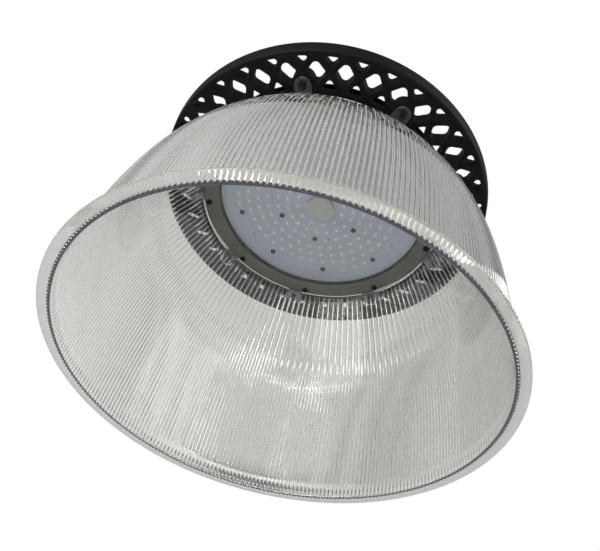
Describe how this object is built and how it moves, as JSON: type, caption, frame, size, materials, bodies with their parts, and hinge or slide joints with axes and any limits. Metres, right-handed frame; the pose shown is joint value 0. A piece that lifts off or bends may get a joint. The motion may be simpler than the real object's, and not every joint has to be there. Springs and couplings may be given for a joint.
{
  "type": "high bay light",
  "caption": "Ceiling lamp for halls: bell-shaped clear prismatic reflector under a flat diamond-lattice heat sink, with an LED board behind a clear lens.",
  "frame": {"origin": "centre of the reflector's mouth, on the lower face of its lip", "axes": "+Z along the lamp's axis from the mouth to the hanging eye; +Y towards the cable gland"},
  "size_m": [0.41, 0.41, 0.364],
  "materials": {
    "reflector": "clear moulded polycarbonate",
    "casting": "black powder coat",
    "board": "white solder mask",
    "led": "moulded with phosphor",
    "pad": "soft filled silicone",
    "lens": "clear moulded polycarbonate",
    "gasket": "matt",
    "bezel": "dark grey powder coat",
    "screws": "plain",
    "board_screws": "black oxide",
    "driver": "plain",
    "terminal": "moulded",
    "leads": "insulation",
    "eye": "zinc plated",
    "gland": "moulded nylon"
  },
  "bodies": {
    "root": {"reflector": "reflector", "heat_sink": "casting", "led_board": "board", "leds": "led", "thermal_pad": "pad", "lens": "lens", "lens_gasket": "gasket", "bezel_ring": "bezel", "bezel_screws": "screws", "board_screws_outer": "board_screws", "board_screws_inner": "board_screws", "reflector_screws": "screws", "reflector_nuts": "screws", "driver_housing": "casting", "housing_gasket": "gasket", "housing_screws": "screws", "led_driver": "driver", "driver_screws": "screws", "terminal_block": "terminal", "input_leads": "leads", "output_leads": "leads", "lead_grommet": "gasket", "eye_bolt": "eye", "eye_washer": "eye", "eye_lock_nut": "eye", "gland_body": "gland", "gland_lock_nut": "gland", "gland_dome_nut": "gland", "gland_seal": "gasket"}
  },
  "joints": []
}
